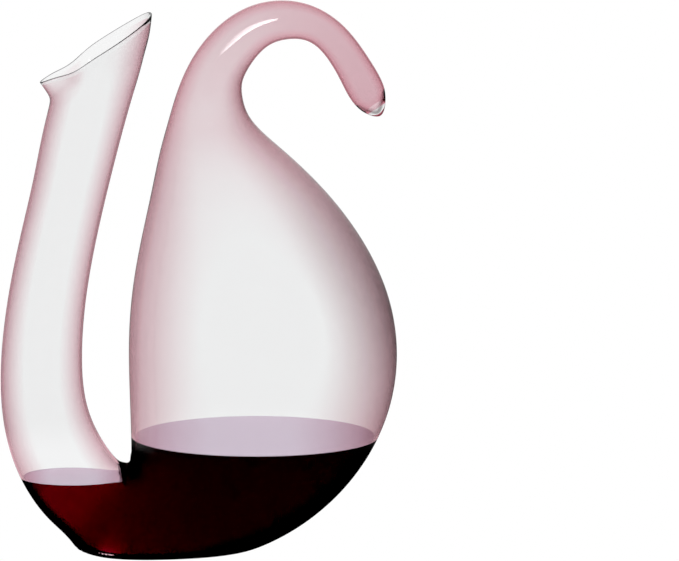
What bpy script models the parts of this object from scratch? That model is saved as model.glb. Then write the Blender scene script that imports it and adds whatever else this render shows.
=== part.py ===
"""Wine decanter, blown in one sweep from two layers of glass: a clear casing over a thin rose layer.

A tube runs from the slanted mouth down the neck, bends under the bulb, swells into it and is drawn
out at the top into a hooked, hollow tail that ends in a clear bead. Metres, +Z up. The origin is
the centre of the foot's underside, +X points from the neck to the bulb, and the object is the same
on both sides of the plane Y = 0.
"""

import math

import bmesh
import bpy
import numpy as np

MM = 0.001

# Sections through the outside of the glass, in mm, from the mouth to the tip of the tail. Each is an
# ellipse square to the plane Y = 0, given as: outer end x, z; inner end x, z; half width in Y. The
# inner end is the one on the side of the fold between the neck and the bulb.
MOUTH = [
    (-72.5, 268.0, -9.0, 307.5, 28.5),
    (-69.0, 263.0, -10.5, 295.0, 26.0),
    (-67.0, 259.0, -13.0, 285.5, 24.5),
    (-67.5, 254.0, -15.5, 275.0, 24.0),
    (-69.5, 246.0, -19.0, 264.0, 23.0),
]
NECK = [
    (-77.0, 210.5, -32.0, 215.0, 22.0),
    (-89.0, 155.5, -46.0, 148.0, 22.0),
    (-95.0, 105.5, -49.0, 105.5, 23.0),
    (-88.0, 50.5, -41.5, 69.5, 26.5),
    (-67.0, 16.0, -28.5, 50.0, 30.5),
]
BEND = [
    (-55.5, 4.0, -25.5, 48.5, 32.5),
    (-40.5, -18.5, -23.5, 48.5, 39.5),
    (7.0, -15.0, -22.0, 49.0, 50.0),
    (50.0, 0.5, -21.5, 51.5, 57.0),
    (66.5, 8.5, -21.5, 53.5, 59.0),
]
BULB = [
    (112.0, 50.5, -21.0, 60.5, 64.0),
    (127.0, 85.5, -21.5, 85.5, 70.5),
    (130.0, 114.0, -22.5, 114.0, 74.5),
    (125.5, 143.0, -21.0, 143.0, 72.5),
    (93.0, 200.5, -10.5, 200.5, 51.5),
    (64.5, 229.5, -4.0, 229.5, 34.5),
]
TAIL = [
    (46.5, 248.0, 0.5, 247.0, 23.0),
    (42.5, 259.5, 5.0, 262.0, 18.5),
    (44.5, 274.5, 20.0, 291.0, 14.5),
    (56.5, 289.0, 46.0, 311.5, 12.5),
    (66.0, 293.0, 64.5, 315.5, 11.0),
    (76.0, 293.0, 82.0, 312.0, 10.0),
    (85.5, 288.5, 98.0, 302.5, 9.5),
    (98.0, 269.5, 115.0, 280.0, 10.0),
    (102.5, 261.0, 120.5, 271.0, 10.5),
    (106.5, 255.5, 123.0, 264.5, 9.5),
    (110.5, 252.0, 123.5, 260.0, 7.5),
    (114.0, 250.0, 123.5, 256.0, 5.5),
    (117.5, 249.0, 122.5, 252.5, 3.0),
    (120.5, 249.0, 121.0, 249.5, 0.5),
]
SECTIONS = np.array(MOUTH + NECK + BEND + BULB + TAIL)

# Places along the sweep, counted in sections from the mouth.
NECK_END = len(MOUTH + NECK)
BULB_START = len(MOUTH + NECK + BEND)
TAIL_START = len(MOUTH + NECK + BEND + BULB) - 1
TIP = len(SECTIONS) - 1
BEAD_START = TIP - 2.2

BEAK_PINCH = 0.3  # how much the mouth narrows towards its pouring beak
BEAK_SECTIONS = 3  # over this many sections the beak runs out into the round neck

CASING = 1.2  # clear casing's thickness
ROSE = 0.5  # rose layer's thickness
GAP = 0.3  # clearance between neighbouring pieces
FOOT_THICKNESS = 3.0
FOOT_HALF_X = 51.0
FOOT_HALF_Y = 39.5
FOOT_EDGE_ROUNDING = 0.8
BODY_FLOOR = FOOT_THICKNESS + GAP  # the blown body is flattened at this height, on the foot

ROSE_INSET = CASING + GAP
WINE_INSET = ROSE_INSET + ROSE + GAP
NECK_WINE_LEVEL = 41.0
BULB_WINE_LEVEL = 64.5
WINE_START = NECK_END - 2.5  # the wine is modelled from here to WINE_END, then cut level
WINE_END = BULB_START + 1.5
LEVEL_CUTTER = 400.0  # side of the boxes that cut the wine level
FOLD_X = -21.5  # the fold between neck and bulb, where the two wine levels part

BODY_SEGMENTS = 36
TAIL_SEGMENTS = 24
FOOT_SEGMENTS = 56
NECK_RINGS = 14
BULB_RINGS = 18
TAIL_RINGS = 15
BEAD_RINGS = 6
SHARP_ANGLE = math.radians(40)  # edges that turn by more than this are shaded sharp
NEAR_TABLE = 0.01  # lower than this counts as lying on the table

CLEAR_GLASS = (0.95, 0.96, 0.97, 1.0)
ROSE_GLASS = (0.88, 0.62, 0.70, 1.0)
RED_WINE = (0.10, 0.0, 0.015, 1.0)
GLASS_ROUGHNESS = 0.02
WINE_ROUGHNESS = 0.05
WINE_TRANSMISSION = 0.2


def clear_scene():
    for old in list(bpy.data.objects):
        bpy.data.objects.remove(old, do_unlink=True)


def new_collection(name):
    group = bpy.data.collections.new(name)
    bpy.context.scene.collection.children.link(group)
    return group


def material(name, colour, roughness, transmission):
    made = bpy.data.materials.new(name)
    made.use_nodes = True
    made.diffuse_color = colour
    shader = made.node_tree.nodes["Principled BSDF"]
    shader.inputs["Base Color"].default_value = colour
    shader.inputs["Roughness"].default_value = roughness
    shader.inputs["Metallic"].default_value = 0.0
    shader.inputs["Transmission Weight"].default_value = transmission
    return made


def sweep_knots():
    """Distance along the sweep at each section, taking the end that travels further."""
    outer = np.linalg.norm(np.diff(SECTIONS[:, 0:2], axis=0), axis=1)
    inner = np.linalg.norm(np.diff(SECTIONS[:, 2:4], axis=0), axis=1)
    return np.concatenate([[0.0], np.cumsum(np.maximum(outer, inner))])


def spline_curvatures(knots):
    """Second derivatives of the natural cubic spline through the sections."""
    count = len(knots)
    step = np.diff(knots)
    slope = np.diff(SECTIONS, axis=0) / step[:, None]
    matrix = np.eye(count)
    right = np.zeros_like(SECTIONS)
    for i in range(1, count - 1):
        matrix[i, i - 1 : i + 2] = step[i - 1], 2 * (step[i - 1] + step[i]), step[i]
        right[i] = 6 * (slope[i] - slope[i - 1])
    return np.linalg.solve(matrix, right)


KNOTS = sweep_knots()
CURVATURES = spline_curvatures(KNOTS)


def section_at(place):
    """The section at a place counted in sections, such as 4.5, from the smooth spline."""
    i = min(int(place), len(KNOTS) - 2)
    step = KNOTS[i + 1] - KNOTS[i]
    b = place - i
    a = 1 - b
    bend = (a**3 - a) * CURVATURES[i] + (b**3 - b) * CURVATURES[i + 1]
    return a * SECTIONS[i] + b * SECTIONS[i + 1] + bend * step**2 / 6


def ring(place, inset, segments, shift=0.0):
    """Points round the section at a place, inset from the outside of the glass, in metres.

    The ring is moved by shift along the sweep, and flattened where it would reach below the foot's top.
    """
    x_out, z_out, x_in, z_in, half_width = section_at(place)
    centre = np.array([(x_out + x_in) / 2, 0.0, (z_out + z_in) / 2])
    arm = np.array([(x_out - x_in) / 2, 0.0, (z_out - z_in) / 2])
    length = np.linalg.norm(arm)
    along = arm / length
    forward = np.array([-along[2], 0.0, along[0]])
    pinch = BEAK_PINCH * max(0.0, 1 - place / BEAK_SECTIONS)
    points = []
    for k in range(segments):
        angle = 2 * math.pi * k / segments
        point = centre + along * (length - inset) * math.cos(angle) + forward * shift
        point[1] = (half_width - inset) * math.sin(angle) * (1 - pinch * math.cos(angle))
        point[2] = max(point[2], BODY_FLOOR + inset)
        points.append(point * MM)
    return points


def places_between(start, end, count):
    """Places spaced evenly by distance along the sweep."""
    scale = np.arange(len(KNOTS))
    first, last = np.interp([start, end], scale, KNOTS)
    return np.interp(np.linspace(first, last, count), KNOTS, scale)


NECK_PLACES = places_between(0, NECK_END, NECK_RINGS)
BULB_PLACES = places_between(NECK_END, TAIL_START, BULB_RINGS)
TAIL_PLACES = places_between(TAIL_START, BEAD_START, TAIL_RINGS)


def add_rings(mesh, rings):
    return [[mesh.verts.new(point) for point in points] for points in rings]


def bridge(mesh, near, far):
    """Triangles between two rings, split the same way in every layer so that thin gaps stay open."""
    count = len(near)
    for k in range(count):
        after = (k + 1) % count
        mesh.faces.new((near[k], near[after], far[after]))
        mesh.faces.new((near[k], far[after], far[k]))


def finish_object(mesh, name, group, look):
    bmesh.ops.recalc_face_normals(mesh, faces=mesh.faces)
    data = bpy.data.meshes.new(name)
    mesh.to_mesh(data)
    mesh.free()
    data.shade_smooth()
    data.set_sharp_from_angle(angle=SHARP_ANGLE)
    data.materials.append(look)
    made = bpy.data.objects.new(name, data)
    group.objects.link(made)
    return made


def sleeve(name, group, look, places, segments, inset, thickness, shifts=(0.0, 0.0)):
    """A blown sleeve, open at both ends: an outer loft and an inner one, joined at the two rims."""
    ends = [0.0] * len(places)
    ends[0], ends[-1] = shifts
    mesh = bmesh.new()
    outer = add_rings(mesh, [ring(p, inset, segments, e) for p, e in zip(places, ends)])
    inner = add_rings(mesh, [ring(p, inset + thickness, segments, e) for p, e in zip(places, ends)])
    for rows in (outer, inner):
        for near, far in zip(rows, rows[1:]):
            bridge(mesh, near, far)
    bridge(mesh, outer[0], inner[0])
    bridge(mesh, outer[-1], inner[-1])
    return finish_object(mesh, name, group, look)


def solid_loft(name, group, look, places, segments, inset, shift=0.0):
    """A solid between two capped rings."""
    mesh = bmesh.new()
    rings = [ring(p, inset, segments, shift if i == 0 else 0.0) for i, p in enumerate(places)]
    rows = add_rings(mesh, rings)
    for near, far in zip(rows, rows[1:]):
        bridge(mesh, near, far)
    mesh.faces.new(rows[0])
    mesh.faces.new(rows[-1])
    return finish_object(mesh, name, group, look)


def glass_sections(group, clear, rose):
    """Neck, bulb and tail, each as a clear casing with its rose layer inside it."""
    spans = [
        ("neck", NECK_PLACES, BODY_SEGMENTS, (0.0, -GAP / 2)),
        ("bulb", BULB_PLACES, BODY_SEGMENTS, (GAP / 2, -GAP / 2)),
        ("tail", TAIL_PLACES, TAIL_SEGMENTS, (GAP / 2, -GAP / 2)),
    ]
    for name, places, segments, shifts in spans:
        sleeve(name + "_casing", group, clear, places, segments, 0.0, CASING, shifts)
        sleeve(name + "_rose_layer", group, rose, places, segments, ROSE_INSET, ROSE, shifts)


def tail_bead(group, look):
    places = places_between(BEAD_START, TIP, BEAD_RINGS)
    return solid_loft("tail_bead", group, look, places, TAIL_SEGMENTS, 0.0, GAP / 2)


def foot_pad(group, look):
    """The thick flat disc that the body stands on, an oval with a softened lower edge."""
    mesh = bmesh.new()
    bmesh.ops.create_cone(
        mesh,
        cap_ends=True,
        segments=FOOT_SEGMENTS,
        radius1=FOOT_HALF_X * MM,
        radius2=(FOOT_HALF_X + FOOT_THICKNESS / 2) * MM,
        depth=FOOT_THICKNESS * MM,
    )
    bmesh.ops.scale(mesh, vec=(1.0, FOOT_HALF_Y / FOOT_HALF_X, 1.0), verts=mesh.verts)
    bmesh.ops.translate(mesh, vec=(0.0, 0.0, FOOT_THICKNESS / 2 * MM), verts=mesh.verts)
    lower_edge = [e for e in mesh.edges if all(v.co.z < NEAR_TABLE * MM for v in e.verts)]
    bmesh.ops.bevel(
        mesh,
        geom=lower_edge,
        offset=FOOT_EDGE_ROUNDING * MM,
        segments=2,
        profile=0.5,
        affect="EDGES",
    )
    return finish_object(mesh, "foot_pad", group, look)


def level_cutter(name, group, low_x, level):
    """A box whose underside is a level surface of the wine, starting at low_x."""
    half = LEVEL_CUTTER / 2
    bpy.ops.mesh.primitive_cube_add(size=LEVEL_CUTTER * MM)
    box = bpy.context.object
    box.name = name
    box.location = ((low_x + half) * MM, 0.0, (level + half) * MM)
    box.hide_render = True
    box.display_type = "WIRE"
    for old in list(box.users_collection):
        old.objects.unlink(box)
    group.objects.link(box)
    return box


def wine(group, cutters, look):
    """The wine, one body round the bend: its level is held higher in the closed bulb than in the neck."""
    along_body = np.concatenate([NECK_PLACES, BULB_PLACES[1:]])
    places = along_body[(along_body > WINE_START) & (along_body < WINE_END)]
    made = solid_loft("wine", group, look, places, BODY_SEGMENTS, WINE_INSET)
    above_neck = level_cutter("above_neck_wine", cutters, FOLD_X - LEVEL_CUTTER, NECK_WINE_LEVEL)
    above_bulb = level_cutter("above_bulb_wine", cutters, FOLD_X, BULB_WINE_LEVEL)
    for cutter in (above_neck, above_bulb):
        cut = made.modifiers.new(cutter.name, "BOOLEAN")
        cut.operation = "DIFFERENCE"
        cut.solver = "EXACT"
        cut.object = cutter
    return made


def main():
    clear_scene()
    parts = new_collection("wine_decanter")
    cutters = new_collection("cutters")
    clear = material("clear_crystal", CLEAR_GLASS, GLASS_ROUGHNESS, 1.0)
    rose = material("rose_crystal", ROSE_GLASS, GLASS_ROUGHNESS, 1.0)
    red = material("red_wine", RED_WINE, WINE_ROUGHNESS, WINE_TRANSMISSION)
    glass_sections(parts, clear, rose)
    tail_bead(parts, clear)
    foot_pad(parts, clear)
    wine(parts, cutters, red)


main()
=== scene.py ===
"""Looks for the wine decanter: clear blown glass over a thin rose film, part filled with red wine.

The vessel is one closed skin of clear glass, from the tip of its tail to the slanted mouth and back
inside. The rose film is a second closed skin within that glass, next to its inner side. The wine is a
third, and reaches a little into the glass, so that glass and wine meet without any air between them.
"""

import math

import bmesh
import bpy
import numpy as np
from mathutils import Matrix, Vector


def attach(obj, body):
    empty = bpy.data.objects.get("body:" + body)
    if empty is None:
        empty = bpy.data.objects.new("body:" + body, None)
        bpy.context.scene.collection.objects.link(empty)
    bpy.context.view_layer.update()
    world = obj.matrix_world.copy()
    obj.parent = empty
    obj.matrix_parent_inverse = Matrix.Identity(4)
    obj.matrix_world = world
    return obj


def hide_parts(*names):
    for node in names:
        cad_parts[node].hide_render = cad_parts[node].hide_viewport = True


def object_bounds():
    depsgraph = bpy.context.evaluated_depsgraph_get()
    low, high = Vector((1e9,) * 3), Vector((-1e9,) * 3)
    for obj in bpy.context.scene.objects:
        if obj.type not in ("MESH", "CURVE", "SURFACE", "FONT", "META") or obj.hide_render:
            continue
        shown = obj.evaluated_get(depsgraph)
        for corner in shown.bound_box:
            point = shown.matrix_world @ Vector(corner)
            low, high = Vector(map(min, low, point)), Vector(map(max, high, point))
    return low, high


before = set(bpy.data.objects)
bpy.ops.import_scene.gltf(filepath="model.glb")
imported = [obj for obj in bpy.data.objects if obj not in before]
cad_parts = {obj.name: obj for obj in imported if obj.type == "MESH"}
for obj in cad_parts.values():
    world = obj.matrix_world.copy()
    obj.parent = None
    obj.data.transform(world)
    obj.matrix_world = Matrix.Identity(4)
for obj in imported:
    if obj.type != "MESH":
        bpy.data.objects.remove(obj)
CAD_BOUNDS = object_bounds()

MM = 0.001

# Sections through the outside of the glass, in mm, from the mouth to the tip of the tail. Each is an
# ellipse square to the plane Y = 0, given as: outer end x, z; inner end x, z; half width in Y. The
# inner end is the one on the side of the fold between the neck and the bulb.
MOUTH = [
    (-72.4, 268.1, -8.9, 307.3, 28.6),
    (-69.0, 263.2, -10.5, 295.2, 26.1),
    (-67.0, 259.2, -13.0, 285.4, 24.7),
    (-67.5, 254.0, -15.7, 275.0, 23.9),
    (-69.4, 246.2, -18.9, 264.1, 23.1),
]
NECK = [
    (-76.8, 210.5, -32.1, 215.1, 21.8),
    (-88.9, 155.5, -46.0, 148.2, 21.8),
    (-95.0, 105.5, -48.9, 105.5, 23.1),
    (-88.1, 50.4, -41.6, 69.5, 26.6),
]
BEND = [
    (-67.0, 15.9, -28.7, 50.2, 30.5),
    (-55.4, 4.0, -25.6, 48.7, 32.5),
    (-40.3, -18.5, -23.4, 48.3, 39.5),
    (6.8, -15.0, -22.2, 49.0, 49.8),
    (50.0, 0.3, -21.6, 51.6, 57.0),
    (66.7, 8.4, -21.4, 53.6, 59.2),
]
BULB = [
    (112.0, 50.7, -21.0, 60.3, 63.5),
    (126.9, 85.3, -21.7, 85.3, 70.2),
    (130.0, 114.2, -22.3, 114.2, 74.5),
    (125.6, 143.0, -20.8, 143.0, 72.5),
    (93.2, 200.7, -10.3, 200.7, 51.7),
    (64.6, 229.5, -4.2, 229.5, 34.4),
    (46.4, 248.2, 0.5, 246.8, 22.9),
]
TAIL = [
    (42.4, 259.3, 5.0, 261.9, 18.7),
    (44.7, 274.7, 20.0, 291.0, 14.7),
    (56.6, 289.2, 45.9, 311.6, 12.3),
    (65.8, 292.9, 64.3, 315.3, 11.1),
    (76.1, 293.1, 82.2, 312.1, 9.9),
    (85.3, 288.3, 97.8, 302.4, 9.3),
    (97.9, 269.7, 115.2, 280.1, 10.1),
    (102.3, 261.1, 120.4, 271.1, 10.3),
    (106.4, 255.3, 122.9, 264.6, 9.4),
    (110.3, 251.8, 123.5, 259.9, 7.7),
    (113.8, 249.9, 123.4, 256.1, 5.7),
    (117.4, 248.8, 122.7, 252.4, 3.2),
    (120.8, 249.3, 120.8, 249.3, 0.0),
]
ALL_SECTIONS = MOUTH + NECK + BEND + BULB + TAIL
NECK_START = len(MOUTH)
BEND_START = NECK_START + len(NECK)
BULB_START = BEND_START + len(BEND)
TAIL_START = BULB_START + len(BULB)
TIP = len(ALL_SECTIONS) - 1
FOLD = BEND_START + 2  # the section at the fold between neck and bulb
FOLD_X = ALL_SECTIONS[FOLD][2]

RIM_REACH = 33.0  # the mouth's own shape runs out into the neck over this distance
MOUTH_WIDER = 0.15  # how much wider than an ellipse the mouth is away from its beak
MOUTH_BACK_WIDER = 0.3  # and how much wider again at the back
BEAK_NARROWER = 0.45  # how much narrower it is in the beak
BEAK_START = 0.42  # where that starts, from 0 at the mouth's sides to 1 at the beak's end
BEAK_SOFTNESS = 0.2
RIM_SAG = 1.0
BEAK_SAG = 2.4  # how many times more the rim dips on each side of the beak
BEAK_SAG_AT = 0.5
BEAK_SAG_REACH = 0.3
LIP_STEPS = 8
FOOT_SOFTNESS = 1.0  # how gradually the body turns into its flat foot

ROW_STEP = 3.6  # spacing of the rings of vertices
FEWEST_ROWS = 7
SEGMENTS = 128

# Thickness of the glass at places along the sweep, counted in sections.
WALL = [
    (0, 0.8),
    (NECK_START, 1.3),
    (BEND_START - 1, 1.3),
    (BEND_START + 1, 1.9),
    (BULB_START, 1.7),
    (BULB_START + 4, 1.5),
    (TAIL_START, 0.9),
    (TIP - 4, 0.9),
    (TIP, 3.0),
]
FOOT_GLASS = 3.0
FOLD_DROP = 5.8  # how far the web of glass under the fold hangs down
FOLD_REACH = (1.2, 18.0, 5.0)  # in X, Y and Z
FILM_DEPTH = 0.2  # glass between the rose film and the hollow
FILM = 0.3
FILM_RIM = 0.4  # clear glass left at the mouth, past the end of the film
OVERLAP = 0.06  # how far the wine reaches into the glass

GLASS_IOR = 1.5
STRAIGHT_BELOW = 37.0  # below this height, light leaves the outer side without being bent
DULL_BETWEEN = (58.0, 72.0)  # the outer side mirrors nothing at the first height, fully at the second
CLEAR = (0.988, 0.990, 0.991, 1.0)
# Grey tint of the lip's glass: painted shade for the dark line along the rim.
RIM_PAINTED_SHADE_GREY = (0.35, 0.33, 0.35, 1.0)
WINE_IOR = 1.34


def smooth(value):
    value = np.clip(value, 0.0, 1.0)
    return value * value * (3 - 2 * value)


# ---------------------------------------------------------------- the sweep


def sweep_sections():
    """All sections, and after the tip the mirror of the one before it, so that the end comes out round."""
    x_out, z_out, x_in, z_in, half_width = ALL_SECTIONS[-2]
    return np.array(ALL_SECTIONS + [(x_in, z_in, x_out, z_out, -half_width)])


def sweep_knots():
    """Distance along the sweep at each section, taking the end that travels further."""
    outer = np.linalg.norm(np.diff(SECTIONS[:, 0:2], axis=0), axis=1)
    inner = np.linalg.norm(np.diff(SECTIONS[:, 2:4], axis=0), axis=1)
    return np.concatenate([[0.0], np.cumsum(np.maximum(outer, inner))])


def spline_curvatures():
    """Second derivatives of the natural cubic spline through the sections."""
    count = len(KNOTS)
    step = np.diff(KNOTS)
    slope = np.diff(SECTIONS, axis=0) / step[:, None]
    matrix = np.eye(count)
    right = np.zeros_like(SECTIONS)
    for i in range(1, count - 1):
        matrix[i, i - 1 : i + 2] = step[i - 1], 2 * (step[i - 1] + step[i]), step[i]
        right[i] = 6 * (slope[i] - slope[i - 1])
    return np.linalg.solve(matrix, right)


SECTIONS = sweep_sections()
KNOTS = sweep_knots()
CURVATURES = spline_curvatures()


def sections_at(distance):
    """Sections at distances along the sweep, from the smooth spline."""
    i = np.clip(np.searchsorted(KNOTS, distance, side="right") - 1, 0, len(KNOTS) - 2)
    step = (KNOTS[i + 1] - KNOTS[i])[:, None]
    b = (distance - KNOTS[i])[:, None] / step
    a = 1 - b
    bend = (a**3 - a) * CURVATURES[i] + (b**3 - b) * CURVATURES[i + 1]
    return a * SECTIONS[i] + b * SECTIONS[i + 1] + bend * step**2 / 6


def row_distances():
    """Where the rings of vertices lie, closer together where the sections are close."""
    rows = [np.array([KNOTS[0]])]
    for near, far in zip(KNOTS[:TIP], KNOTS[1 : TIP + 1]):
        count = max(FEWEST_ROWS, math.ceil((far - near) / ROW_STEP))
        rows.append(np.linspace(near, far, count + 1)[1:])
    return np.concatenate(rows)


def rim_widening(c):
    """How much wider the mouth is than an ellipse, narrow at the beak (c = 1) and full behind it."""
    behind = np.maximum(0.0, -c)
    in_beak = (1 + np.tanh((c - BEAK_START) / BEAK_SOFTNESS)) / 2
    return MOUTH_WIDER * behind + MOUTH_BACK_WIDER * behind**5 - BEAK_NARROWER * in_beak


def rim_sag(c):
    """How far the rim dips below a flat cut; most on each side of the beak."""
    by_beak = np.exp(-(((c - BEAK_SAG_AT) / BEAK_SAG_REACH) ** 2))
    return RIM_SAG * (1 - c * c) * (1 + BEAK_SAG * by_beak)


def blown_body():
    """The outer side before its foot is flattened, as a grid of points in mm.

    There is one row for each ring, and the ring's angles run along it.
    """
    x_out, z_out, x_in, z_in, half_width = sections_at(DISTANCE).T[:, :, None]
    c = np.cos(ANGLE)[None, :]
    s = np.sin(ANGLE)[None, :]
    mouth = smooth(1 - DISTANCE / RIM_REACH)[:, None]
    x = (x_out + x_in) / 2 + (x_out - x_in) / 2 * c
    y = half_width * s * (1 + mouth * rim_widening(c))
    z = (z_out + z_in) / 2 + (z_out - z_in) / 2 * c - mouth**2 * rim_sag(c)
    return np.stack(np.broadcast_arrays(x, y, z), axis=-1)


def flattened(points, floor):
    """The points with all that lies below a floor brought up to it, by a soft turn."""
    over = points[:, :, 2] - floor
    raised = floor + (over + np.sqrt(over * over + 4 * FOOT_SOFTNESS**2)) / 2
    return np.dstack([points[:, :, 0], points[:, :, 1], raised])


def outward_normals(points):
    """Unit normals of a grid of points. The last row is the tip, where every point is the same."""
    along = np.gradient(points, axis=0)
    around = np.roll(points, -1, axis=1) - np.roll(points, 1, axis=1)
    normals = np.cross(around, along)
    normals[-1] = points[-1] - points[-4].mean(axis=0)
    normals /= np.linalg.norm(normals, axis=-1, keepdims=True)
    return normals


DISTANCE = row_distances()
PLACE = np.interp(DISTANCE, KNOTS, np.arange(len(KNOTS)))
ANGLE = np.linspace(0, 2 * math.pi, SEGMENTS, endpoint=False)
BODY = blown_body()
NORMAL = outward_normals(BODY)
OUTSIDE = flattened(BODY, 0.0)


def under_fold():
    """How far the glass hangs down below its even wall, in the web under the fold."""
    fold = np.array([FOLD_X, 0.0, SECTIONS[FOLD][3]])
    from_fold = np.linalg.norm((BODY - fold) / FOLD_REACH, axis=-1)
    return FOLD_DROP * np.exp(-(from_fold**2) / 2)


THICKNESS = np.interp(PLACE, *zip(*WALL))[:, None] + np.zeros(SEGMENTS)
WEB = under_fold()


def within_glass(cover, web=1.0):
    """The grid moved in until this much glass is left between it and the hollow, over a flat floor."""
    moved = BODY - NORMAL * (THICKNESS - cover)[:, :, None]
    moved[:, :, 2] -= WEB * web
    return flattened(moved, FOOT_GLASS - cover)


# ---------------------------------------------------------------- meshes


def skin(name, rings):
    """A closed skin through rings of points in mm, shrinking to one point at each end."""
    count = rings.shape[1]
    points = np.concatenate([rings[0][:1], rings[1:-1].reshape(-1, 3), rings[-1][:1]])
    last = len(points) - 1
    here = np.arange(count)
    after = (here + 1) % count
    first_row = 1 + here
    last_row = 1 + (len(rings) - 3) * count + here
    faces = [(0, int(first_row[a]), int(first_row[b])) for a, b in zip(here, after)]
    for row in range(len(rings) - 3):
        near = 1 + row * count
        faces += [(near + b, near + a, near + count + a, near + count + b) for a, b in zip(here, after)]
    faces += [(last, int(last_row[b]), int(last_row[a])) for a, b in zip(here, after)]
    return mesh_object(name, points, faces)


def mesh_object(name, points, faces):
    data = bpy.data.meshes.new(name)
    data.from_pydata((points * MM).tolist(), [], faces)
    data.validate()
    data.shade_smooth()
    made = bpy.data.objects.new(name, data)
    bpy.context.scene.collection.objects.link(made)
    return made


def rolled_rim(outer, inner):
    """Rings of a half-round lip between the ends of an outer and an inner skin."""
    middle = (outer + inner) / 2
    across = (outer - inner) / 2
    size = np.linalg.norm(across, axis=-1, keepdims=True)
    ahead = OUTSIDE[0] - OUTSIDE[1]
    ahead -= across * (ahead * across).sum(-1, keepdims=True) / size**2
    ahead *= size / np.linalg.norm(ahead, axis=-1, keepdims=True)
    turns = [math.pi * k / LIP_STEPS for k in range(1, LIP_STEPS)]
    return np.array([middle + across * math.cos(t) + ahead * math.sin(t) for t in turns])


def there_and_back(outer, inner):
    """Rings from the tip along the outer skin to the mouth, round the lip and back along the inner one."""
    lip = rolled_rim(outer[0], inner[0])
    return np.concatenate([outer[::-1], lip, inner])


def wine_levels():
    """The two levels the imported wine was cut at, in mm: in the neck and in the bulb."""
    corners = [v.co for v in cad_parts["wine"].data.vertices]
    in_neck = max(co.z for co in corners if co.x < FOLD_X * MM)
    in_bulb = max(co.z for co in corners if co.x > FOLD_X * MM)
    return in_neck / MM, in_bulb / MM


def vessel_mesh():
    return skin("vessel", there_and_back(OUTSIDE, within_glass(0.0)))


def film_mesh():
    rows = DISTANCE > FILM_RIM
    outer = within_glass(FILM_DEPTH + FILM)[rows]
    inner = within_glass(FILM_DEPTH)[rows]
    return skin("rose_film", np.concatenate([outer[::-1], inner]))


def narrowest_row():
    """The ring under the fold, where the passage between neck and bulb is lowest."""
    top_of_passage = within_glass(0.0)[:, :, 2].max(axis=1)
    bend = (PLACE > BEND_START) & (PLACE < BULB_START)
    return int(np.where(bend, top_of_passage, np.inf).argmin())


def wine_mesh(neck_level, bulb_level):
    """The hollow's own shape up to each level, closed by a flat surface in the neck and in the bulb.

    On the bulb's side of the fold it takes in the web as well, which so looks as dark as the wine.
    """
    rings = within_glass(OVERLAP)
    fold_row = narrowest_row()
    rings[fold_row + 1 :] = within_glass(OVERLAP, web=0.0)[fold_row + 1 :]
    start = int(np.argmax(rings[:, :, 2].min(axis=1) < neck_level)) - 1
    full = (PLACE > BULB_START) & (rings[:, :, 2].min(axis=1) > bulb_level)
    end = int(np.argmax(full)) + 1
    rings = rings[start:end]
    mesh = bmesh.new()
    rows = [[mesh.verts.new(point * MM) for point in ring] for ring in rings]
    halves = ([], [])
    for r, (near, far) in enumerate(zip(rows, rows[1:])):
        half = halves[0] if start + r < fold_row else halves[1]
        for k in range(SEGMENTS):
            after = (k + 1) % SEGMENTS
            half.append(mesh.faces.new((near[k], near[after], far[after], far[k])))
            half[-1].smooth = True
    for half, level in zip(halves, (neck_level, bulb_level)):
        cut_level(mesh, half, level * MM)
    bmesh.ops.recalc_face_normals(mesh, faces=mesh.faces)
    data = bpy.data.meshes.new("wine_fill")
    mesh.to_mesh(data)
    mesh.free()
    made = bpy.data.objects.new("wine_fill", data)
    bpy.context.scene.collection.objects.link(made)
    return made


def cut_level(mesh, faces, level):
    """Cuts part of a mesh at a level, removes what is above, and fills the surface flat."""
    # Each edge and corner once, in order: a set's order would change the mesh from run to run.
    edges = dict.fromkeys(e for f in faces for e in f.edges)
    corners = dict.fromkeys(v for f in faces for v in f.verts)
    result = bmesh.ops.bisect_plane(
        mesh,
        geom=[*faces, *edges, *corners],
        plane_co=(0, 0, level),
        plane_no=(0, 0, 1),
        clear_outer=True,
    )
    rim = [e for e in result["geom_cut"] if isinstance(e, bmesh.types.BMEdge)]
    filled = bmesh.ops.holes_fill(mesh, edges=rim, sides=0)["faces"]
    for face in filled:
        face.smooth = False
        face.material_index = 0
    for edge in rim:
        edge.smooth = False


# ---------------------------------------------------------------- material nodes


def node(tree, kind, inputs=None, **settings):
    """Adds a node. Inputs maps an input's name or number to a value or to another node's output."""
    made = tree.nodes.new(kind)
    for name, value in settings.items():
        setattr(made, name, value)
    for key, value in (inputs or {}).items():
        if isinstance(value, bpy.types.NodeSocket):
            tree.links.new(value, made.inputs[key])
        else:
            made.inputs[key].default_value = value
    return made


def calc(tree, operation, a, b=0.0, c=0.0, clamp=False):
    inputs = {0: a, 1: b, 2: c}
    return node(tree, "ShaderNodeMath", inputs, operation=operation, use_clamp=clamp).outputs[0]


def new_material(name):
    made = bpy.data.materials.new(name)
    made.use_nodes = True
    made.node_tree.nodes.clear()
    output = node(made.node_tree, "ShaderNodeOutputMaterial")
    return made, made.node_tree, output


def x_and_height(tree):
    position = node(tree, "ShaderNodeNewGeometry").outputs["Position"]
    split = node(tree, "ShaderNodeSeparateXYZ", {0: position})
    return split.outputs["X"], split.outputs["Z"]


WAVE_STRETCH = (1.0, 1.0, 0.45)
WAVE_SCALE = 22.0
WAVE_DETAIL = 1.5
WAVE_ROUGHNESS = 0.4
WAVE_STRENGTH = 0.12
WAVE_HEIGHT = 0.6 * MM


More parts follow.
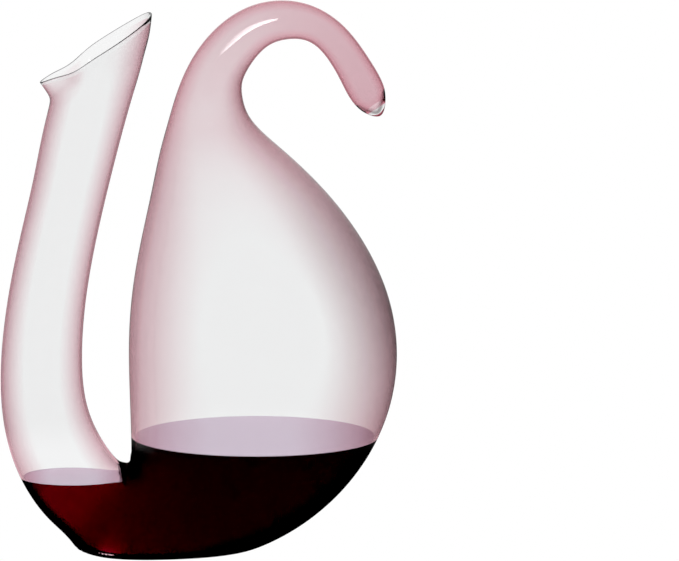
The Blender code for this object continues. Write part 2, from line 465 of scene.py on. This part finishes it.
def drawn_waviness(tree):
    """The slight unevenness of hand-blown glass, in long soft swells."""
    place = node(tree, "ShaderNodeTexCoord").outputs["Object"]
    stretched = node(tree, "ShaderNodeMapping", {"Vector": place, "Scale": WAVE_STRETCH}).outputs[0]
    noise = {"Vector": stretched, "Scale": WAVE_SCALE, "Detail": WAVE_DETAIL, "Roughness": WAVE_ROUGHNESS}
    swells = node(tree, "ShaderNodeTexNoise", noise).outputs["Fac"]
    bump = {"Height": swells, "Strength": WAVE_STRENGTH, "Distance": WAVE_HEIGHT}
    return node(tree, "ShaderNodeBump", bump).outputs["Normal"]


def smooth_glass(tree, colour, inputs=None):
    look = {"Base Color": colour, "Roughness": 0.0, "IOR": GLASS_IOR, "Transmission Weight": 1.0}
    return node(tree, "ShaderNodeBsdfPrincipled", look | (inputs or {})).outputs[0]


def mixed(tree, share, first, second):
    """The first shader where the share is 0, and the second where it is 1."""
    return node(tree, "ShaderNodeMixShader", {0: share, 1: first, 2: second}).outputs[0]


def clear_glass():
    """The outer side: polished glass, which over the wine mirrors nothing, and lets light out straight."""
    made, tree, output = new_material("clear_crystal")
    glass = smooth_glass(tree, CLEAR, {"Normal": drawn_waviness(tree)})
    height = x_and_height(tree)[1]
    low, high = (mm * MM for mm in DULL_BETWEEN)
    dullness = {"Value": height, "From Min": low, "From Max": high, "To Min": 1.0, "To Max": 0.0}
    dull = node(tree, "ShaderNodeMapRange", dullness, interpolation_type="SMOOTHSTEP").outputs[0]
    bent = {"Color": CLEAR, "Roughness": 0.0, "IOR": GLASS_IOR}
    entering = mixed(tree, dull, glass, node(tree, "ShaderNodeBsdfRefraction", bent).outputs[0])
    leaving = node(tree, "ShaderNodeNewGeometry").outputs["Backfacing"]
    straight = calc(tree, "MULTIPLY", calc(tree, "LESS_THAN", height, STRAIGHT_BELOW * MM), leaving)
    through = node(tree, "ShaderNodeBsdfTransparent").outputs[0]
    tree.links.new(mixed(tree, straight, entering, through), output.inputs["Surface"])
    return made


def inner_glass(neck_level, bulb_level):
    """The inner side: a glass surface in the air, and nothing to see where wine lies against it."""
    made, tree, output = new_material("inner_side")
    x, height = x_and_height(tree)
    in_bulb = calc(tree, "GREATER_THAN", x, FOLD_X * MM)
    level = calc(tree, "MULTIPLY_ADD", in_bulb, (bulb_level - neck_level) * MM, neck_level * MM)
    wet = calc(tree, "LESS_THAN", height, level)
    through = node(tree, "ShaderNodeBsdfTransparent").outputs[0]
    tree.links.new(mixed(tree, wet, smooth_glass(tree, CLEAR), through), output.inputs["Surface"])
    return made


def painted_rim_shade():
    """The lip of the mouth, its glass tinted grey: painted shade for the dark line along the rim."""
    made, tree, output = new_material("painted_rim_shade")
    tree.links.new(smooth_glass(tree, RIM_PAINTED_SHADE_GREY), output.inputs["Surface"])
    return made


# Share of red, green and blue light that the rose film takes, as multiples of its tint.
ROSE_SHARES = (0.42, 1.0, 0.88)
SLANT_TINT = 1.63  # tint gained as the film is seen at a slant
SLANT_START = 0.052  # the slant, from 0 for facing to 1 for edge-on, where that begins
MOST_SLANT = 0.3  # and where it ends
PAINTED_SHADE_TINT = 1.6  # the same gain for the painted grey shade on the side away from the neck
BOTH_SKINS = 0.5  # light meets two skins of the film, so each takes the square root


def rose_glass():
    """A film that only tints what passes, more so the more it is seen at a slant, and towards the tail; on
    the side away from the neck it also darkens what passes with a painted grey shade.
    """
    made, tree, output = new_material("rose_crystal")
    facing = node(tree, "ShaderNodeLayerWeight", {"Blend": 0.5}).outputs["Facing"]
    slant = calc(tree, "SUBTRACT", calc(tree, "MINIMUM", facing, MOST_SLANT), SLANT_START, clamp=True)
    depth = node(tree, "ShaderNodeAttribute", attribute_name="rose_depth").outputs["Fac"]
    shade = node(tree, "ShaderNodeAttribute", attribute_name="painted_shade").outputs["Fac"]
    at_slant = node(tree, "ShaderNodeAttribute", attribute_name="rose_slant").outputs["Fac"]
    slanted = calc(tree, "MULTIPLY", calc(tree, "MULTIPLY", slant, at_slant), SLANT_TINT)
    tint = calc(tree, "ADD", slanted, depth)
    red_tint = calc(tree, "MULTIPLY_ADD", slanted, at_slant, depth)  # clearer pink where at_slant is low
    # Painted shade: grey taken from what passes at a slant, on the side away from the neck.
    grey = calc(tree, "MULTIPLY", calc(tree, "MULTIPLY", slant, shade), PAINTED_SHADE_TINT)
    channels = []
    for share, amount in zip(ROSE_SHARES, (red_tint, tint, tint)):
        passed = calc(tree, "SUBTRACT", 1.0, calc(tree, "MULTIPLY", amount, share), clamp=True)
        passed = calc(tree, "MULTIPLY", passed, calc(tree, "SUBTRACT", 1.0, grey, clamp=True))
        channels.append(calc(tree, "POWER", passed, BOTH_SKINS))
    colour = node(tree, "ShaderNodeCombineColor", {0: channels[0], 1: channels[1], 2: channels[2]})
    film = node(tree, "ShaderNodeBsdfTransparent", {"Color": colour.outputs[0]})
    tree.links.new(film.outputs[0], output.inputs["Surface"])
    return made


WINE_COLOUR = (0.77, 0.0, 0.35, 1.0)
WINE_DENSITY = 200.0
EDGE_START = 0.16  # the slant where the wine's sides start to turn dark
EDGE_END = 0.22  # and where they are black
SURFACE_MIRROR = 0.95
SURFACE_SHEEN = (0.78, 0.67, 0.78, 1.0)
SURFACE_ROUGHNESS = 0.02
NECK_SURFACE_PAINTED_SHADE = 0.8  # how bright the level surface in the neck is beside the one in the bulb: painted shade, as it mirrors less


def wine_sides(tree):
    """Sides that don't bend the light, and let none in where they are seen at a slant."""
    facing = node(tree, "ShaderNodeLayerWeight", {"Blend": 0.5}).outputs["Facing"]
    darkening = {"Value": facing, "From Min": EDGE_START, "From Max": EDGE_END}
    edge = node(tree, "ShaderNodeMapRange", darkening, interpolation_type="SMOOTHSTEP").outputs[0]
    leaving = node(tree, "ShaderNodeNewGeometry").outputs["Backfacing"]
    passed = calc(tree, "SUBTRACT", 1.0, calc(tree, "SUBTRACT", edge, leaving, clamp=True))
    colour = node(tree, "ShaderNodeCombineColor", {0: passed, 1: passed, 2: passed})
    return node(tree, "ShaderNodeBsdfTransparent", {"Color": colour.outputs[0]}).outputs[0]


def wine_surface(tree, level):
    """The level surface, a soft mirror over dark wine."""
    look = {"Roughness": 0.0, "IOR": WINE_IOR, "Transmission Weight": 1.0}
    body = node(tree, "ShaderNodeBsdfPrincipled", look).outputs[0]
    sheen = {"Color": SURFACE_SHEEN, "Roughness": SURFACE_ROUGHNESS}
    shine = node(tree, "ShaderNodeBsdfAnisotropic", sheen, distribution="GGX").outputs[0]
    return mixed(tree, calc(tree, "MULTIPLY", level, SURFACE_MIRROR), body, shine)


def red_wine():
    """Wine whose level surfaces are marked, with their brightness, by the attribute level_surface; the
    neck's is darker as painted shade.
    """
    made, tree, output = new_material("red_wine")
    level = node(tree, "ShaderNodeAttribute", attribute_name="level_surface").outputs["Fac"]
    on_top = calc(tree, "GREATER_THAN", level, 0.0)
    skin_look = mixed(tree, on_top, wine_sides(tree), wine_surface(tree, level))
    tree.links.new(skin_look, output.inputs["Surface"])
    volume = node(tree, "ShaderNodeVolumeAbsorption", {"Color": WINE_COLOUR, "Density": WINE_DENSITY})
    tree.links.new(volume.outputs[0], output.inputs["Volume"])
    return made


# ---------------------------------------------------------------- the pieces


OUTER_SLOT, INNER_SLOT, LIP_SLOT = range(3)


def build_vessel(neck_level, bulb_level):
    made = vessel_mesh()
    for look in (clear_glass(), inner_glass(neck_level, bulb_level), painted_rim_shade()):
        made.data.materials.append(look)
    lip_start = SEGMENTS * (len(DISTANCE) - 1)
    inner_start = lip_start + SEGMENTS * LIP_STEPS
    slots = np.full(len(made.data.polygons), INNER_SLOT, dtype=np.int32)
    slots[:lip_start] = OUTER_SLOT
    slots[lip_start:inner_start] = LIP_SLOT
    made.data.polygons.foreach_set("material_index", slots)
    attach(made, "root")
    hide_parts("neck_casing", "bulb_casing", "tail_casing", "tail_bead", "foot_pad")


NO_TINT = -1.0  # deep enough below 0 to outweigh the tint of any slant
# How deep the rose tint is at places along the sweep, counted in sections.
ROSE_DEPTH = [
    (BULB_START + 4, 0.0),
    (TAIL_START - 2, 0.05),
    (TAIL_START, 0.15),
    (TAIL_START + 3, 0.23),
    (TAIL_START + 6, 0.29),
    (TIP - 2.2, 0.32),
    (TIP - 1.6, NO_TINT),  # under the clear bead
]
# The same for the share of SLANT_TINT that the film gains.
ROSE_SLANT = [(BULB_START + 4, 1.0), (TAIL_START, 0.7), (TAIL_START + 3, 0.45)]
# The painted grey shade on the side away from the neck: height in mm, reach up and down, and strength.
BULB_PAINTED_SHADE = (145.0, 45.0, 1.0)
HOOK_PAINTED_SHADE = (265.0, 16.0, 0.45)
SHADE_END = TAIL_START + 2
SHADE_TURN = 0.05  # the X of the outward normal where the shade starts
SHADE_TURN_REACH = 0.5  # and how much further it takes to be full


def set_film_attribute(film, name, grid):
    """Gives both skins of the film a value at each point, from a grid that starts at the mouth."""
    both = np.concatenate([grid[::-1], grid])
    values = np.concatenate([both[0, :1], both[1:-1].ravel(), both[-1, :1]])
    attribute = film.data.attributes.new(name, "FLOAT", "POINT")
    attribute.data.foreach_set("value", values.astype(np.float32))


def painted_shade():
    """The grid's share of the painted grey shade, from the bend to where the tail turns over."""
    right = smooth((NORMAL[:, :, 0] - SHADE_TURN) / SHADE_TURN_REACH)
    from_bend = smooth(PLACE - FOLD)
    to_tail = smooth(SHADE_END - PLACE)
    shade = 0.0
    for height, reach, strength in (BULB_PAINTED_SHADE, HOOK_PAINTED_SHADE):
        shade = shade + strength * np.exp(-(((OUTSIDE[:, :, 2] - height) / reach) ** 2) / 2)
    return right * shade * (from_bend * to_tail)[:, None]


def build_film():
    made = film_mesh()
    made.data.materials.append(rose_glass())
    rows = DISTANCE > FILM_RIM
    depth = np.interp(PLACE[rows], *zip(*ROSE_DEPTH))[:, None] + np.zeros(SEGMENTS)
    depth[0] = NO_TINT  # the film's own edge at the mouth
    set_film_attribute(made, "rose_depth", depth)
    at_slant = np.interp(PLACE[rows], *zip(*ROSE_SLANT))[:, None] + np.zeros(SEGMENTS)
    set_film_attribute(made, "rose_slant", at_slant)
    set_film_attribute(made, "painted_shade", painted_shade()[rows])
    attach(made, "root")
    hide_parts("neck_rose_layer", "bulb_rose_layer", "tail_rose_layer")


def build_wine(neck_level, bulb_level):
    made = wine_mesh(neck_level, bulb_level)
    made.data.materials.append(red_wine())
    levels = []
    for face in made.data.polygons:
        # The neck's level surface mirrors less: painted shade.
        brightness = NECK_SURFACE_PAINTED_SHADE if face.center.x < FOLD_X * MM else 1.0
        levels.append(0.0 if face.use_smooth else brightness)
    attribute = made.data.attributes.new("level_surface", "FLOAT", "FACE")
    attribute.data.foreach_set("value", levels)
    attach(made, "root")
    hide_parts("wine")


# ---------------------------------------------------------------- studio and camera

ELEVATION = math.radians(9.9)
CAMERA_DISTANCE = 13.0
SENSOR = 36.0
VIEW_WIDTH = 385.66 * MM  # what the picture takes in, at the middle of the object
VIEW_RIGHT = Vector((1.0, 0.0, 0.0))
VIEW_UP = Vector((0.0, math.sin(ELEVATION), math.cos(ELEVATION)))
VIEW_BACK = Vector((0.0, -math.cos(ELEVATION), math.sin(ELEVATION)))
AIM_RIGHT = 97.41 * MM
AIM_UP = 151.94 * MM
CLIP_END = 100.0


def add_camera():
    middle = sum(CAD_BOUNDS, Vector()) / 2
    data = bpy.data.cameras.new("camera")
    data.sensor_width = SENSOR
    data.lens = SENSOR * (CAMERA_DISTANCE - middle.dot(VIEW_BACK)) / VIEW_WIDTH
    data.clip_end = CLIP_END
    camera = bpy.data.objects.new("camera", data)
    bpy.context.scene.collection.objects.link(camera)
    turn = Matrix((VIEW_RIGHT, VIEW_UP, VIEW_BACK)).transposed()
    place = VIEW_RIGHT * AIM_RIGHT + VIEW_UP * AIM_UP + VIEW_BACK * CAMERA_DISTANCE
    camera.matrix_world = Matrix.Translation(place) @ turn.to_4x4()
    bpy.context.scene.camera = camera


# The oval softbox close to the hook, seen only as the streak it draws there. Its middle is given from
# the picture's origin, to the right and up, and its distance from the plane Y = 0 towards the camera.
SOFTBOX_RIGHT = 28 * MM
SOFTBOX_UP = 309 * MM
SOFTBOX_DISTANCE = 165 * MM
SOFTBOX_WIDTH = 92 * MM
SOFTBOX_HEIGHT = 42 * MM
SOFTBOX_SPREAD = math.radians(58)
SOFTBOX_POWER = 0.013


def add_softbox():
    data = bpy.data.lights.new("softbox", "AREA")
    data.shape = "ELLIPSE"
    data.size = SOFTBOX_WIDTH
    data.size_y = SOFTBOX_HEIGHT
    data.spread = SOFTBOX_SPREAD
    data.energy = SOFTBOX_POWER
    lamp = bpy.data.objects.new("softbox", data)
    bpy.context.scene.collection.objects.link(lamp)
    place = VIEW_RIGHT * SOFTBOX_RIGHT + VIEW_UP * SOFTBOX_UP + VIEW_BACK * SOFTBOX_DISTANCE
    turn = Matrix((VIEW_RIGHT, VIEW_UP, VIEW_BACK)).transposed()
    lamp.matrix_world = Matrix.Translation(place) @ turn.to_4x4()
    lamp.visible_camera = False
    lamp.visible_transmission = False


# Brightness of the studio by direction: at angles, in degrees, from where the camera looks, towards
# the right, the left, the top and the bottom of the picture.
STUDIO = {
    "right": [(14, 1.0), (24, 0.7), (40, 0.4), (60, 0.2), (90, 0.08), (180, 0.04)],
    "left": [(14, 1.0), (24, 0.82), (40, 0.62), (60, 0.42), (90, 0.2), (180, 0.04)],
    "top": [(14, 1.0), (25, 0.9), (60, 0.75), (90, 0.45), (120, 0.15), (180, 0.04)],
    "bottom": [(14, 1.0), (25, 0.7), (45, 0.4), (70, 0.15), (90, 0.06), (180, 0.04)],
}
# How much of that light is mirrored: dark cards keep it off the right side and the bottom.
MIRRORED = {"right": 0.05, "left": 0.15, "top": 0.85, "bottom": 0.05}
MIRRORED_FAR = 0.2  # what is left of that far from where the camera looks
MIRRORED_FADE = (25, 60)  # degrees
AHEAD = 1e-5  # nearer than this to where the camera looks, squared, light has no side and is full


def falloff(tree, turned, stops):
    """Brightness over the angle turned from the view, as a share of half a turn."""
    made = node(tree, "ShaderNodeValToRGB", {0: turned})
    made.color_ramp.interpolation = "EASE"
    elements = made.color_ramp.elements
    while len(elements) < len(stops):
        elements.new(0.5)
    for element, (degrees, grey) in zip(elements, stops):
        element.position = degrees / 180
        element.color = (grey, grey, grey, 1.0)
    return calc(tree, "ADD", made.outputs["Color"], 0.0)  # as a plain number


def add_studio():
    """A lit backdrop behind the object, in a room that is dim on most sides; it turns with the camera."""
    world = bpy.data.worlds.new("studio")
    bpy.context.scene.world = world
    world.use_nodes = True
    tree = world.node_tree
    tree.nodes.clear()
    seen = node(tree, "ShaderNodeTexCoord").outputs["Camera"]
    unit = node(tree, "ShaderNodeVectorMath", {0: seen}, operation="NORMALIZE").outputs[0]
    across, up, ahead = node(tree, "ShaderNodeSeparateXYZ", {0: unit}).outputs
    turned = calc(tree, "DIVIDE", calc(tree, "ARCCOSINE", ahead), math.pi)
    off_axis = calc(tree, "ADD", calc(tree, "MULTIPLY", across, across), calc(tree, "MULTIPLY", up, up))
    off_axis = calc(tree, "MAXIMUM", off_axis, AHEAD / 10)
    total = calc(tree, "LESS_THAN", off_axis, AHEAD)
    path = node(tree, "ShaderNodeLightPath")
    mirrored = path.outputs["Is Reflection Ray"]
    near, far = (degrees / 180 for degrees in MIRRORED_FADE)
    reach = {"Value": turned, "From Min": near, "From Max": far, "To Min": 1.0, "To Max": MIRRORED_FAR}
    kept = node(tree, "ShaderNodeMapRange", reach).outputs[0]
    for side, value, sign in (
        ("right", across, 1.0),
        ("left", across, -1.0),
        ("top", up, 1.0),
        ("bottom", up, -1.0),
    ):
        towards = calc(tree, "MAXIMUM", calc(tree, "MULTIPLY", value, sign), 0.0)
        share = calc(tree, "DIVIDE", calc(tree, "MULTIPLY", towards, towards), off_axis)
        change = calc(tree, "MULTIPLY_ADD", kept, MIRRORED[side], -1.0)
        share = calc(tree, "MULTIPLY", share, calc(tree, "MULTIPLY_ADD", mirrored, change, 1.0))
        total = calc(tree, "MULTIPLY_ADD", share, falloff(tree, turned, STUDIO[side]), total)
    strength = calc(tree, "MAXIMUM", calc(tree, "MINIMUM", total, 1.0), path.outputs["Is Camera Ray"])
    light = node(tree, "ShaderNodeBackground", {"Color": (1, 1, 1, 1), "Strength": strength})
    output = node(tree, "ShaderNodeOutputWorld")
    tree.links.new(light.outputs[0], output.inputs["Surface"])


FLOOR_HALF = 8.0
FLOOR_LEVEL = -0.3 * MM


def add_floor():
    """A plain white floor, seen by the camera only; what the glass bends comes from the studio."""
    data = bpy.data.meshes.new("floor")
    turns = ((-1, -1), (1, -1), (1, 1), (-1, 1))
    corners = [(x * FLOOR_HALF, y * FLOOR_HALF, FLOOR_LEVEL) for x, y in turns]
    data.from_pydata(corners, [], [(0, 1, 2, 3)])
    floor = bpy.data.objects.new("floor", data)
    bpy.context.scene.collection.objects.link(floor)
    made, tree, output = new_material("pale_floor")
    white = node(tree, "ShaderNodeEmission", {"Color": (1, 1, 1, 1), "Strength": 1.0})
    tree.links.new(white.outputs[0], output.inputs["Surface"])
    data.materials.append(made)
    for kind in ("diffuse", "glossy", "transmission", "volume_scatter", "shadow"):
        setattr(floor, "visible_" + kind, False)


def set_light_paths():
    scene = bpy.context.scene
    scene.view_settings.view_transform = "Standard"
    scene.cycles.max_bounces = 24
    scene.cycles.transmission_bounces = 24
    scene.cycles.glossy_bounces = 12
    scene.cycles.transparent_max_bounces = 48


def main():
    neck_level, bulb_level = wine_levels()
    build_vessel(neck_level, bulb_level)
    build_film()
    build_wine(neck_level, bulb_level)
    add_camera()
    add_softbox()
    add_studio()
    add_floor()
    set_light_paths()


main()
